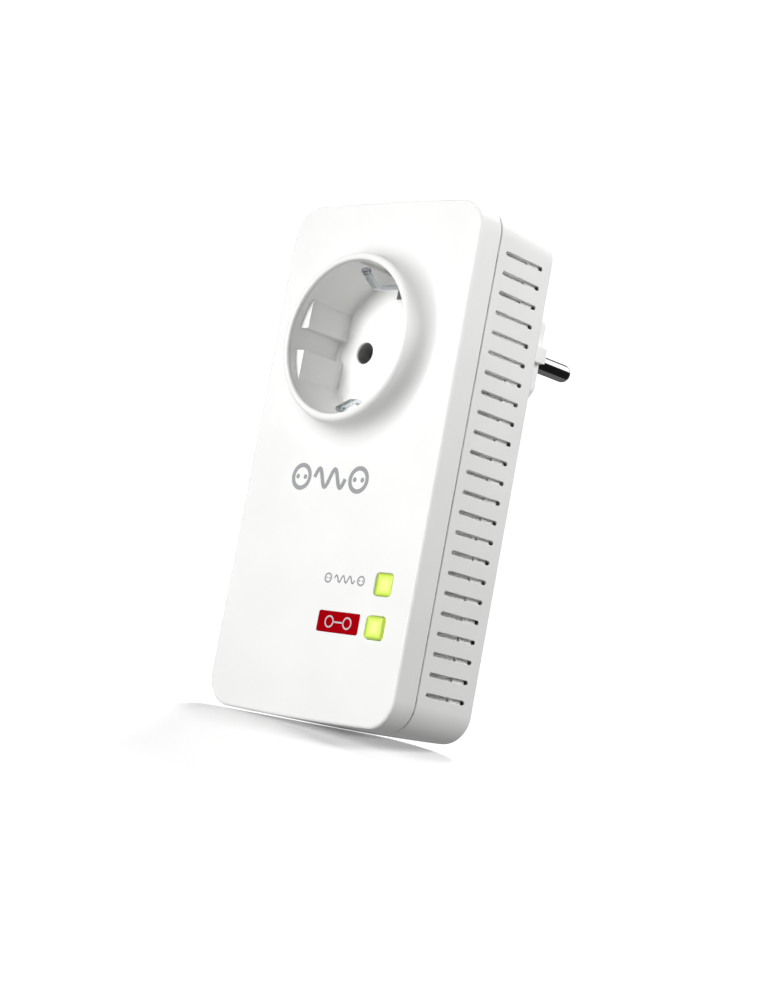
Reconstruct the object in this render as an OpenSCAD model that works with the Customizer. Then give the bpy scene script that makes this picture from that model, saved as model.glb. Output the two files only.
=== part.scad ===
// Powerline network adapter with a pass-through earthed mains socket on its front, a mains plug
// on its back, a signal lamp, a push button and a network port in its base.
// Millimetres, +Z up, front face towards -Y. The origin is the centre of the plug's front face,
// midway between the two pins, which point along +Y into the wall socket.

/* [Housing] */
// Width across the parting line
body_w = 66; // [64:1:70]
// Height of the housing
body_h = 132; // [130:1:140]
// Depth from the flat front face to the back face
body_d = 31; // [31:0.5:34]
// Depth of the front shell, up to the parting line
seam_y = 7.4; // [7:0.2:8]
// Radius of the four corners seen from the front
corner_r = 7.5; // [6:0.5:9]
// Wall thickness of both shells
wall = 2; // [1.8:0.1:2.2]
// Rounding of the front edge
front_round = 1.2; // [0.8:0.2:1.6]
// Rounding of the back edge
back_round = 3; // [2:0.5:4]

/* [Mains socket] */
// Height of the socket centre above the base
socket_z = 94.9; // [93:0.5:96]
// How far the socket ring stands proud of the front face
ring_proud = 7.3; // [7:0.1:7.6]
// Radius of the plug recess
recess_r = 19.7; // [19.5:0.1:19.8]
// Depth of the plug recess below the ring
recess_depth = 17.5; // [17.4:0.1:17.6]
// Outer radius of the ring's lip
ring_r = 21.7; // [21.5:0.1:22]
// Radius at which the ring's skirt meets the front face
skirt_r = 27.5; // [26:0.5:27.5]

/* [Mains plug] */
// Height of the plug centre above the base
plug_z = 103.8; // [102:0.5:105]
// Radius of the plug body
plug_r = 18.7; // [18.4:0.1:18.8]
// Length of the plug body behind the housing
plug_len = 17.4; // [17:0.1:17.6]
// Diameter of a plug pin
pin_d = 4.8; // [4.75:0.01:4.8]
// Length of a plug pin beyond the plug's face
pin_len = 19; // [18.6:0.1:19.2]
// Distance between the two pins, and between the two socket holes
pin_pitch = 19; // [19:0.1:19.1]

/* [Ventilation] */
// Number of slots on each side
slot_count = 23; // [10:1:23]
// Distance between neighbouring slots
slot_pitch = 4.98; // [4.8:0.02:5]
// Height of the lowest slot above the base
slot_low = 11; // [10:0.5:11]
// Height of a slot
slot_h = 1.3; // [1:0.1:1.5]
// Distance of a slot's front end from the front face
slot_front = 10.4; // [10:0.2:11]
// Length of a slot
slot_len = 15; // [13:0.5:15]

/* [Label] */
// Width of the red label
label_w = 14.2; // [10:0.1:14.2]
// Height of the red label
label_h = 5.2; // [3:0.1:6]
// Distance of the label's centre from the middle
label_x = 9.4; // [8:0.1:10]
// Height of the label's centre above the base
label_z = 24.7; // [22:0.1:26]

/* [Controls] */
// Distance of the lamp and the button from the middle
control_x = 22.25; // [20:0.25:23]
// Height of the lamp's centre above the base
lamp_z = 35.1; // [34:0.5:38]
// Height of the button's centre above the base
button_z = 24.5; // [23:0.5:26]
// Side length of the lamp's window and of the button
control_size = 5.6; // [5:0.1:6]
// How far the button stands proud of the front face
button_proud = 0.9; // [0.7:0.1:1.2]
// Travel of the button
button_travel = 0.6; // [0.4:0.1:0.6]

/* [Hidden] */

WHITE = [0.95, 0.95, 0.94];
BOARD = [0.05, 0.32, 0.16];
METAL = [0.75, 0.76, 0.78];
BRASS = [0.8, 0.65, 0.35];
BLACK = [0.12, 0.12, 0.13];
LIT = [0.75, 1, 0.35];
GLOW = [0.9, 0.9, 0.6];

fine = 96;
gap = 0.1;
eps = 0.01;
seam_gap = 0.3;
front_lean = 0.25;
back_lean = 1.4;
back_drop = 0.9;
floor_y = recess_depth - ring_proud;
floor_t = 2.2;
hole_r = 2.8;
hole_tube_r = 4.2;
hole_end = floor_y + 4.8;
hole_x = pin_pitch / 2;
plug_face = body_d + plug_len;
inner_back = body_d - wall;

// Socket ring: the rounding of its lip, and the well that sits in a shoulder behind it
lip_round = 0.9;
well_r = recess_r + 1;
well_front = 1.1 - ring_proud;
ring_bore_r = well_r + gap;

// Flat guides in the recess, flats on the plug body and the rib between the flats
flat_x = 16.6;
guide_front = -4.2;
guide_gap = 2.8;
rib_half = 2;
rib_x = 18.5;
plug_edge = 0.6;
plug_wall_r = 15.6;
plug_flange = 2;
plug_flange_t = 1.4;

// Safety shutter: it turns on a post behind the floor, with one wing over each hole
shutter_y = hole_end + 0.2;
shutter_t = 1.5;
shutter_hub_r = 4.4;
wing_r = 13.6;
wing_angle = 20;
post_r = 2;
shutter_bore = post_r + 0.05;
coil_r = 2.9;
coil_wire_r = 0.22;
coil_pitch = 0.6;

// Carrier of the contacts, with its two posts and screws
carrier_y = shutter_y + shutter_t + 0.3;
carrier_end = 24.4;
carrier_r = 16.3;
carrier_post_z = 11.5;
carrier_post_r = 2.2;
carrier_screw_r = 0.9;
carrier_head_r = 2;

// Contact sleeves, their tabs and the leads to the power board
sleeve_in = pin_d / 2 + 0.05;
sleeve_out = 3.2;
sleeve_front = 17.5;
sleeve_back = 27.4;
tab_t = 0.8;
tab_half = 2.2;
lead_y = 25.35;
lead_r = 0.9;

// Plug pins: the tail riveted through the tab and the collar inside the plug's face
tail_r = 1.45;
collar_r = 3.4;
collar_y = plug_face - 4;
collar_t = 1.7;
root_r = 3;

// Earth springs: each is one leaf from its root, through the floor, over its knee to its eye
leaf_half = 1.1;
leaf_t = 1.1;
leg_r = 17.2;
floor_leg_r = 16.8;
shin_y = 7.2;
shin_r = 15.9;
knee_y = 0.9;
knee_r = 14.1;
eye_y = -3.6;
eye_centre_r = 17.7;
eye_r = 0.8;
eye_bore = 0.35;
spring_root = floor_y + 2.6;
wall_slot_front = -4.9;
floor_slot_r = 14.1;

// Earth straps, which take the springs' current to the strips of the adapter's own plug
strap_half = 3;
strap_t = 0.8;
bar_y = 25.2;
plug_strap_r = 17.05;
rivet_z = 5;
rivet_r = 1.2;
rivet_head_r = 2;

// Boards: the logic board behind the front, the power board in front of the back
logic_y = 9.4;
power_y = 26.4;
board_t = 1.6;
board_half = 27.5;
board_top = 71;
logic_low = 16;
power_low = 22;
spacer_x = 24;
spacer_z = 44;
spacer_r = 2.2;
sheet_y = 13.4;
sheet_t = 0.4;

// Network jack, its port and the contacts in it
jack_w = 16;
jack_d = 13.4;
jack_h = 20;
jack_y = logic_y + board_t + gap;
jack_z = wall + 0.1;
port_y = jack_y + 2.8;
port_w = 11.8;
port_d = 7;
port_end = 13.5;
latch_half = 3;
latch_d = 1.4;
frame_half = 9.9;
frame_back = 25.8;
contact_pitch = 1.02;

// Components, each as its middle in X and Z, then its width, height and thickness
processor_at = [-8, 52, 12, 12, 1.2];
memory_at = [11, 56, 10, 12, 1];
flash_at = [9, 43.5, 6, 5, 1.4];
crystal_at = [-6, 39.25, 4, 2.5, 1];
network_at = [0, 25, 16, 10, 5.4];
coupler_at = [18.5, 30.5, 11, 9, 9];
coupler_core_at = [18.5, 30.5, 7, 6, 10.4];
core_at = [-18, 34, 14, 12, 11];
bobbin_at = [-18, 33.5, 10, 15.8, 10];
x_capacitor_at = [10.5, 64, 13, 6, 11];
varistor_at = [-4.5, 64.25, 7, 3.5, 10];
fuse_at = [-21, 66, 8, 4, 8];
bridge_at = [-4.5, 50.5, 7, 5, 2.6];
header_at = [0, 24.2, 16, 2.4];
sink_base = 1.2;
sink_fin = 3.2;
sink_size = 18;
sink_pitch = 3.36;
choke_at = [-19, 55];
choke_r = 6;
choke_bore = 2.4;

// Button stem, switch plunger and lamps
stem_r = 1.6;
plunger_y = 5;
plunger_len = 1.9;
switch_half = 3;
flange = 0.8;
led_w = 3.2;
led_h = 2.8;
led_t = 1.3;
button_led_z = button_z + 4.9;

// Screws and their posts, which join the shells from the back
post_x = 24.5;
post_low = 9.5;
post_high = body_h - 9.5;
post_wall = 3.3;
screw_r = 1.4;
head_r = 2.6;
head_t = 1.8;
head_y = 21;
screw_tip = 3.2;

// Liners behind the slots: a long one along their rear half and a pad level with the plug
liner_x = body_w / 2 - wall - back_lean - 1.2;
liner_t = 2.2;
liner_front = slot_front + 8.6;
liner_end = slot_front + slot_len - 1.6;
pad_front = slot_front - 0.4;
pad_low = 93.5;
pad_high = 108;

label_t = 0.4;

function arc(cx, cy, r, a0, a1, n) =
    [for (i = [0 : n]) let (a = a0 + (a1 - a0) * i / n) [cx + r * cos(a), cy + r * sin(a)]];

// Moves a shape from the housing's frame, with its origin low on the front face, to the plug's
module placed() { translate([0, -plug_face, -plug_z]) children(); }

module rod(r, y0, y1, x = 0, z = 0) {
    translate([x, y0, z]) rotate([-90, 0, 0]) cylinder(r = r, h = y1 - y0, $fn = fine);
}

module block(x0, x1, y0, y1, z0, z1) {
    translate([x0, y0, z0]) cube([x1 - x0, y1 - y0, z1 - z0]);
}

// Extrudes an outline drawn in X and Z along Y
module along_y(y0, y1) {
    translate([0, y0, 0]) rotate([-90, 0, 0]) linear_extrude(y1 - y0) mirror([0, 1]) children();
}

// Turns a profile of radius and Y about the Y axis
module turned(profile) {
    rotate([-90, 0, 0]) rotate_extrude($fn = fine) polygon(profile);
}

// A thin slice of the housing's outline at y, shrunk by inset
module slice(y, inset) {
    t = max(0, y - seam_y) / (body_d - seam_y);
    u = max(0, seam_y - y) / seam_y;
    half = body_w / 2 - front_lean * u - back_lean * t - inset;
    high = body_h - front_lean * u - back_drop * t - inset;
    r = max(corner_r - inset, 1);
    along_y(y, y + eps) polygon(concat(
        arc(half - r, high - r, r, 0, 90, 8), arc(r - half, high - r, r, 90, 180, 8),
        arc(r - half, inset + r, r, 180, 270, 8), arc(half - r, inset + r, r, 270, 360, 8)));
}

module front_form(inset, back) {
    hull() {
        slice(inset, inset + front_round);
        slice(inset + front_round * 0.3, inset + front_round * 0.3);
        slice(inset + front_round, inset);
        slice(back - eps, inset);
    }
}

module rear_form(inset, front) {
    hull() {
        slice(front, inset);
        slice(body_d - inset - back_round, inset);
        slice(body_d - inset - back_round * 0.3, inset + back_round * 0.3);
        slice(body_d - inset - eps, inset + back_round);
    }
}

module rounded_square(size, r) {
    h = size / 2 - r;
    polygon(concat(arc(h, h, r, 0, 90, 6), arc(-h, h, r, 90, 180, 6),
        arc(-h, -h, r, 180, 270, 6), arc(h, -h, r, 270, 360, 6)));
}

module at_posts() {
    for (x = [-post_x, post_x], z = [post_low, post_high]) translate([x, 0, z]) children();
}

// ---- Shells ----

module socket_ring() {
    skirt = skirt_r - ring_r;
    lip_in = 0.5;
    turned(concat(
        arc(ring_r - lip_round, lip_round - ring_proud, lip_round, 0, -90, 6),
        arc(recess_r + lip_in, lip_in - ring_proud, lip_in, -90, -180, 4),
        [[recess_r, well_front], [ring_bore_r, well_front], [ring_bore_r, wall], [skirt_r, wall]],
        arc(skirt_r, -skirt, skirt, 90, 180, 10)));
}

module front_shell() color(WHITE) placed() {
    difference() {
        union() {
            difference() {
                front_form(0, seam_y - seam_gap / 2);
                front_form(wall, seam_y + 1);
            }
            at_posts() rod(post_wall, wall - eps, seam_y - seam_gap / 2);
        }
        rod(skirt_r - 1, -1, wall + 1, 0, socket_z);
        translate([control_x, 0, lamp_z]) along_y(-1, wall + 1) rounded_square(control_size + 0.2, 1.1);
        translate([control_x, 0, button_z]) along_y(-1, wall + 1) rounded_square(control_size + 0.3, 1.1);
        at_posts() rod(screw_r - 0.15, wall + 0.6, seam_y + 1);
        label_form(gap, 1);
    }
    translate([0, 0, socket_z]) difference() {
        socket_ring();
        earth_slots();
    }
}

module slot_outline() {
    r = slot_h / 2;
    y0 = slot_front + r;
    y1 = slot_front + slot_len - r;
    polygon(concat(arc(y1, 0, r, -90, 90, 6), arc(y0, 0, r, 90, 270, 6)));
}

// Slots through both side walls, numbered upwards from the lowest
module slots() {
    cut = 4 * wall;
    for (i = [0 : slot_count - 1], side = [-1, 1])
        translate([side * body_w / 2 - cut / 2, 0, slot_low + i * slot_pitch])
            rotate([0, 90, 0]) rotate([0, 0, 90]) linear_extrude(cut) slot_outline();
}

module plug_outline(margin) {
    cut = 10;
    difference() {
        circle(plug_r + margin, $fn = fine);
        for (side = [-1, 1]) translate([side * (flat_x + margin + cut / 2), 0])
            square([cut, 3 * plug_r], center = true);
    }
    square([2 * (rib_x + margin), 2 * (rib_half + margin)], center = true);
}

// The space of the port frame in the base: it is open towards the parting line
module port_notch(margin) {
    block(-frame_half - margin, frame_half + margin, seam_y + seam_gap / 2 - margin, frame_back + margin,
        -margin, wall + margin);
}

module rear_shell() color(WHITE) placed() {
    difference() {
        union() {
            difference() {
                rear_form(0, seam_y + seam_gap / 2);
                rear_form(wall, seam_y);
                slots();
            }
            for (side = [0, 1]) mirror([side, 0, 0]) {
                block(liner_x, liner_x + liner_t, liner_front, liner_end, post_low - 1, post_high + 1);
                block(liner_x, liner_x + liner_t + 0.4, pad_front, liner_end, pad_low, pad_high);
            }
            at_posts() rod(post_wall, seam_y + seam_gap / 2, inner_back + 0.5);
        }
        translate([0, 0, plug_z]) along_y(inner_back - 1, body_d + 1) plug_outline(gap);
        at_posts() rod(screw_r + 0.2, seam_y - 1, body_d + 1);
        at_posts() rod(head_r + 0.3, head_y, body_d + 1);
        port_notch(gap);
    }
}

// The label's own form, or the recess for it when it has a margin and starts in front
module label_form(margin, front) {
    w = label_w / 2 + margin;
    h = label_h / 2 + margin;
    block(label_x - w, label_x + w, -front, label_t, label_z - h, label_z + h);
}

module red_label() color([0.63, 0, 0.08]) placed() label_form(0, 0);

// ---- Mains socket ----

// Slots in the well's wall that give the earth springs room to move outwards
module earth_slots() {
    half = leaf_half + 0.5;
    low = recess_r - 1;
    high = recess_r + 1.4;
    for (side = [0, 1]) mirror([0, 0, side])
        block(-half, half, wall_slot_front, floor_y + 1, low, high);
}

// The space inside the recess, narrower between the two flat guides
module well_void() {
    beyond = 30;
    rod(recess_r, well_front - 1, guide_front);
    intersection() {
        rod(recess_r, guide_front - eps, floor_y);
        union() {
            block(-flat_x, flat_x, guide_front - 1, floor_y, -beyond, beyond);
            block(-beyond, beyond, guide_front - 1, floor_y, -guide_gap, guide_gap);
        }
    }
}

module socket_well() color([0.88, 0.89, 0.87]) placed() translate([0, 0, socket_z]) {
    leg_half = leaf_half + 0.5;
    difference() {
        union() {
            rod(well_r, well_front + gap, floor_y + floor_t);
            for (x = [-hole_x, hole_x]) rod(hole_tube_r, floor_y, hole_end, x, 0);
            rod(post_r, floor_y, carrier_y + 2);
            for (z = [-carrier_post_z, carrier_post_z]) rod(carrier_post_r, floor_y, carrier_y, 0, z);
        }
        well_void();
        earth_slots();
        for (x = [-hole_x, hole_x]) rod(hole_r, floor_y - 1, hole_end + 1, x, 0);
        for (side = [0, 1]) mirror([0, 0, side])
            block(-leg_half, leg_half, floor_y - 1, floor_y + floor_t + 1, floor_slot_r, leg_r + 2.2);
        for (z = [-carrier_post_z, carrier_post_z])
            rod(carrier_screw_r, floor_y + floor_t + 0.4, carrier_y + 1, 0, z);
    }
}

// A leaf that comes through the floor, leans in to its knee and back out to a rolled eye
module earth_spring() {
    line = [[spring_root, leg_r], [floor_y - 1, floor_leg_r], [shin_y, shin_r],
        [knee_y + 1, knee_r], [knee_y - 0.5, knee_r + 0.3], [eye_y, eye_centre_r - 0.5]];
    last = len(line) - 1;
    outline = concat(line, [for (i = [last : -1 : 0]) line[i] + [0, leaf_t]]);
    translate([-leaf_half, 0, 0]) rotate([0, 90, 0]) rotate([0, 0, 90])
        linear_extrude(2 * leaf_half) difference() {
            union() {
                polygon(outline);
                translate([eye_y, eye_centre_r]) circle(eye_r, $fn = 32);
            }
            translate([eye_y, eye_centre_r]) circle(eye_bore, $fn = 32);
        }
}

module earth_spring_top() color(METAL) placed() translate([0, 0, socket_z]) earth_spring();

module earth_spring_bottom() color(METAL) placed()
    translate([0, 0, socket_z]) mirror([0, 0, 1]) earth_spring();

module earth_bracket() color(METAL) placed() translate([0, 0, socket_z]) difference() {
    union() {
        for (side = [0, 1]) mirror([0, 0, side])
            block(-strap_half, strap_half, spring_root + gap, bar_y + strap_t, leg_r, leg_r + strap_t);
        block(-strap_half, strap_half, bar_y, bar_y + strap_t, -leg_r - eps, leg_r + eps);
    }
    rod(rivet_r + 0.05, bar_y - 1, bar_y + strap_t + 1, 0, rivet_z);
}

module safety_shutter() color([0.9, 0.9, 0.88]) placed() translate([0, 0, socket_z])
    along_y(shutter_y, shutter_y + shutter_t) difference() {
        union() {
            circle(shutter_hub_r, $fn = fine);
            for (a = [0, 180]) rotate(a)
                polygon(concat([[0, 0]], arc(0, 0, wing_r, -wing_angle, wing_angle, 8)));
        }
        circle(shutter_bore, $fn = fine);
    }

// The return spring of the shutter, as closed rings round its post
module shutter_spring() color(METAL) placed() translate([0, floor_y + floor_t + 0.5, socket_z])
    for (i = [0 : 3]) translate([0, i * coil_pitch, 0])
        rotate([-90, 0, 0]) rotate_extrude($fn = 48) translate([coil_r, 0]) circle(coil_wire_r, $fn = 16);

module contact_carrier() color([0.2, 0.2, 0.21]) placed() translate([0, 0, socket_z]) difference() {
    rod(carrier_r, carrier_y, carrier_end);
    for (x = [-hole_x, hole_x]) rod(sleeve_out + gap, carrier_y - 1, carrier_end + 1, x, 0);
    rod(post_r + gap, carrier_y - 1, carrier_y + 2.2);
    for (z = [-carrier_post_z, carrier_post_z]) {
        rod(carrier_screw_r + 0.25, carrier_y - 1, carrier_end + 1, 0, z);
        rod(carrier_head_r + 0.2, carrier_end - 2, carrier_end + 1, 0, z);
    }
}

// A flat-headed screw: its head ends at y_head and its shank runs forwards to y_tip
module screw(head, thick, shank, y_head, y_tip) {
    rod(head, y_head - thick, y_head);
    rod(shank, y_tip, y_head - thick + eps);
}

module carrier_screws() color(METAL) placed()
    for (z = [-carrier_post_z, carrier_post_z]) translate([0, 0, socket_z + z])
        screw(carrier_head_r, 1.6, carrier_screw_r, carrier_end - 0.4, floor_y + floor_t + 0.8);

// A split sleeve that grips the guest pin, with a tab up to the adapter's own pin
module contact(x) {
    pin_z = plug_z - socket_z;
    translate([x, 0, socket_z]) difference() {
        union() {
            rod(sleeve_out, sleeve_front, sleeve_back);
            block(-tab_half, tab_half, sleeve_back - tab_t, sleeve_back, tab_half, pin_z + 2.6);
        }
        rod(sleeve_in, sleeve_front - 1, sleeve_back + 1);
        block(-0.4, 0.4, sleeve_front - 1, sleeve_back - 2, -sleeve_out - 1, 0);
        rod(tail_r + 0.05, sleeve_back - 2, sleeve_back + 1, 0, pin_z);
    }
}

module contact_line() color(BRASS) placed() contact(hole_x);

module contact_neutral() color(BRASS) placed() contact(-hole_x);

module mains_leads() color([0.45, 0.25, 0.15]) placed() {
    low = board_top - 2;
    for (x = [-hole_x, hole_x]) translate([x, lead_y, low])
        cylinder(r = lead_r, h = socket_z - sleeve_out - gap - low, $fn = 32);
}

// ---- Mains plug ----

module plug_body() color(WHITE) placed() translate([0, 0, plug_z]) difference() {
    union() {
        along_y(inner_back, plug_face - 1) plug_outline(0);
        along_y(plug_face - 1 - eps, plug_face) plug_outline(-plug_edge);
        rod(plug_r + plug_flange, inner_back - plug_flange_t, inner_back);
    }
    rod(plug_wall_r, inner_back - 2, plug_face - 2.2);
    for (x = [-hole_x, hole_x]) rod(root_r + 0.05, plug_face - 3, plug_face + 1, x, 0);
    for (side = [0, 1]) mirror([0, 0, side])
        block(-strap_half - gap, strap_half + gap, inner_back - 3, plug_face - 1.5,
            plug_strap_r - gap, plug_r + plug_flange + 1);
}

// A pin with a rounded tip and a thinner tail riveted through the contact's tab
module plug_pin(x) {
    r = pin_d / 2;
    tip = plug_face + pin_len;
    tail = sleeve_back - tab_t - 0.4;
    translate([x, 0, plug_z]) turned(concat(
        [[0, tail], [tail_r, tail], [tail_r, collar_y], [collar_r, collar_y],
        [collar_r, collar_y + collar_t], [root_r, collar_y + collar_t],
        [root_r, plug_face], [r, plug_face]],
        arc(0, tip - r, r, 0, 90, 8)));
}

module plug_pin_line() color(METAL) placed() plug_pin(hole_x);

module plug_pin_neutral() color(METAL) placed() plug_pin(-hole_x);

module plug_earth_bracket() color(METAL) placed() translate([0, 0, plug_z]) {
    y0 = bar_y + strap_t;
    r0 = plug_strap_r;
    difference() {
        union() {
            for (side = [0, 1]) mirror([0, 0, side])
                block(-strap_half, strap_half, y0, plug_face - 2, r0, r0 + strap_t);
            block(-strap_half, strap_half, y0, y0 + strap_t, -r0 - eps, r0 + eps);
        }
        rod(rivet_r + 0.05, y0 - 1, y0 + 2, 0, socket_z - plug_z + rivet_z);
    }
}

module earth_rivet() color(METAL) placed() translate([0, 0, socket_z + rivet_z]) {
    stack = 2 * strap_t;
    rod(rivet_r, bar_y - 0.1, bar_y + stack + 0.1);
    rod(rivet_head_r, bar_y - 0.6, bar_y);
    rod(rivet_head_r, bar_y + stack, bar_y + stack + 0.6);
}

// ---- Controls ----

module connect_button() color(LIT) placed() translate([control_x, 0, button_z]) {
    along_y(-button_proud, wall + 1) rounded_square(control_size, 1);
    along_y(wall + gap, wall + 1) rounded_square(control_size + 2 * flange, 1);
    rod(stem_r, wall + 1 - eps, plunger_y);
}

module switch_plunger() color(BLACK) placed()
    rod(stem_r, plunger_y, plunger_y + plunger_len, control_x, button_z);

module switch_body() color([0.3, 0.3, 0.32]) placed() translate([control_x, 0, button_z]) difference() {
    block(-switch_half, switch_half, plunger_y + 1, logic_y, -switch_half, switch_half);
    rod(stem_r + 0.05, plunger_y, plunger_y + plunger_len + button_travel + 0.3);
}

module lamp_lens() color(LIT) placed() translate([control_x, 0, lamp_z]) {
    back = wall + 0.8;
    along_y(0.1, back) rounded_square(control_size, 1);
    along_y(wall, back) rounded_square(control_size + 2 * flange, 1);
    rod(stem_r, back - eps, logic_y - led_t - 0.2);
}

module lamp_led() color(GLOW) placed() on_logic([control_x, lamp_z, led_w, led_h, led_t]);

module button_led() color(GLOW) placed() on_logic([control_x, button_led_z, led_w, led_h, led_t]);

// ---- Boards and what is soldered to them ----

// A component that stands in front of the board whose front face is at y
module component(c, y) {
    block(c[0] - c[2] / 2, c[0] + c[2] / 2, y - c[4], y, c[1] - c[3] / 2, c[1] + c[3] / 2);
}

module on_logic(c) { component(c, logic_y); }

module on_power(c) { component(c, power_y); }

module board(y, low) {
    difference() {
        block(-board_half, board_half, y, y + board_t, low, board_top);
        for (x = [-spacer_x, spacer_x]) rod(rivet_r + 0.1, y - 1, y + board_t + 1, x, spacer_z);
    }
}

module logic_board() color(BOARD) placed() board(logic_y, logic_low);

module power_board() color(BOARD) placed() board(power_y, power_low);

// Screws through both boards, each with the spacer that keeps them apart
module board_screws() color(METAL) placed()
    for (x = [-spacer_x, spacer_x]) translate([x, 0, spacer_z]) {
        rod(rivet_r, logic_y - 0.1, power_y + board_t + 0.1);
        rod(spacer_r, logic_y - 1.6, logic_y);
        rod(spacer_r, logic_y + board_t, power_y);
    }

module network_jack() color(METAL) placed() difference() {
    block(-jack_w / 2, jack_w / 2, jack_y, jack_y + jack_d, jack_z, jack_z + jack_h);
    block(-port_w / 2, port_w / 2, port_y, port_y + port_d, jack_z - 1, jack_z + port_end);
    block(-latch_half, latch_half, port_y + port_d - eps, port_y + port_d + latch_d,
        jack_z - 1, jack_z + port_end);
}

// The frame round the face of the network jack
module port_frame() color(WHITE) placed() difference() {
    port_notch(0);
    block(-jack_w / 2 - 0.3, jack_w / 2 + 0.3, jack_y - 0.3, jack_y + jack_d + 0.3, -1, wall + 1);
}

module jack_contacts() color(BRASS) placed()
    for (i = [-3.5 : 3.5]) translate([i * contact_pitch, 0, 0])
        block(-0.2, 0.2, port_y, port_y + 0.8, jack_z + 4, jack_z + port_end);

module processor() color(BLACK) placed() on_logic(processor_at);

module heat_sink() color([0.65, 0.66, 0.68]) placed() {
    y = logic_y - processor_at[4];
    x = processor_at[0] - sink_size / 2;
    z = processor_at[1] - sink_size / 2;
    block(x, x + sink_size, y - sink_base, y, z, z + sink_size);
    for (i = [0 : 5]) translate([x + i * sink_pitch, 0, 0])
        block(0, sink_base, y - sink_base - sink_fin, y - sink_base + eps, z, z + sink_size);
}

module memory_chip() color(BLACK) placed() on_logic(memory_at);

module flash_chip() color(BLACK) placed() on_logic(flash_at);

module crystal() color(METAL) placed() on_logic(crystal_at);

module network_transformer() color(BLACK) placed() on_logic(network_at);

module line_coupler() color([0.85, 0.8, 0.5]) placed() {
    on_power(coupler_at);
    on_power(coupler_core_at);
}

module power_transformer() color([0.9, 0.8, 0.3]) placed() {
    on_power(core_at);
    on_power(bobbin_at);
}

module bulk_capacitors() color([0.15, 0.2, 0.35]) placed()
    for (x = [6, 16]) rod(4, power_y - 11.4, power_y, x, 52);

module output_capacitors() color([0.1, 0.3, 0.3]) placed()
    for (x = [-5, 3]) rod(3.1, power_y - 9, power_y, x, 32);

module x_capacitor() color([0.85, 0.7, 0.2]) placed() on_power(x_capacitor_at);

module line_choke() color([0.7, 0.4, 0.2]) placed() translate([choke_at[0], 0, choke_at[1]]) difference() {
    rod(choke_r, power_y - 9, power_y);
    rod(choke_bore, power_y - 10, power_y + 1);
}

module varistor() color([0.1, 0.3, 0.7]) placed() on_power(varistor_at);

module fuse() color([0.25, 0.2, 0.15]) placed() on_power(fuse_at);

module bridge_rectifier() color(BLACK) placed() on_power(bridge_at);

// The header that joins the two boards spans the whole gap between them
module board_header() color(BLACK) placed() on_power(concat(header_at, [power_y - logic_y - board_t]));

module insulating_sheet() color([0.85, 0.83, 0.7]) placed() difference() {
    block(-board_half + 1.5, board_half - 1.5, sheet_y, sheet_y + sheet_t, power_low + 5, board_top - 1);
    for (x = [-spacer_x, spacer_x]) rod(spacer_r + 0.4, sheet_y - 1, sheet_y + 1, x, spacer_z);
}

module case_screws() color(METAL) placed()
    at_posts() screw(head_r, head_t, screw_r - 0.2, head_y + head_t, screw_tip);

front_shell();
rear_shell();
socket_well();
earth_spring_top();
earth_spring_bottom();
earth_bracket();
safety_shutter();
shutter_spring();
contact_carrier();
carrier_screws();
contact_line();
contact_neutral();
plug_body();
plug_pin_line();
plug_pin_neutral();
plug_earth_bracket();
earth_rivet();
mains_leads();
connect_button();
switch_plunger();
switch_body();
lamp_lens();
lamp_led();
button_led();
red_label();
logic_board();
power_board();
network_jack();
jack_contacts();
processor();
heat_sink();
memory_chip();
flash_chip();
crystal();
network_transformer();
line_coupler();
power_transformer();
bulk_capacitors();
output_capacitors();
x_capacitor();
line_choke();
varistor();
fuse();
bridge_rectifier();
board_header();
insulating_sheet();
case_screws();
board_screws();
port_frame();
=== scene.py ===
import math

import bmesh
import bpy
from mathutils import Matrix, Vector


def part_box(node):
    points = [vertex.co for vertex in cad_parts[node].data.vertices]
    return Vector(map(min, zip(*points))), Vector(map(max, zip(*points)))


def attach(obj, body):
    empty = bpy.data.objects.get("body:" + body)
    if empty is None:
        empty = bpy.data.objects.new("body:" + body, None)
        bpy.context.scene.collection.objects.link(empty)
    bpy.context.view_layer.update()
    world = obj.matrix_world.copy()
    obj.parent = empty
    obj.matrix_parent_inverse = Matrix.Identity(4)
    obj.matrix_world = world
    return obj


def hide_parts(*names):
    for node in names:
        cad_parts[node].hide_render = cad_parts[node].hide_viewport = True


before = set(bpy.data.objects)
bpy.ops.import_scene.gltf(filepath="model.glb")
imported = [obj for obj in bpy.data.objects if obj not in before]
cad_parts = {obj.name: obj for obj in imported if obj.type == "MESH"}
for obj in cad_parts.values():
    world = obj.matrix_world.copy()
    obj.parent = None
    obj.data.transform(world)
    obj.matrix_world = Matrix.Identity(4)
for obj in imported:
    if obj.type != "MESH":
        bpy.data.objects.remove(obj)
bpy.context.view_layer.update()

MM = 0.001
HOUSING = "housing"


def edges_mm(node, axis):
    """Lowest and highest coordinate of a CAD node along an axis, in millimetres."""
    low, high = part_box(node)
    return low[axis] / MM, high[axis] / MM


def middle_mm(node, axis):
    return sum(edges_mm(node, axis)) / 2


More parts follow.
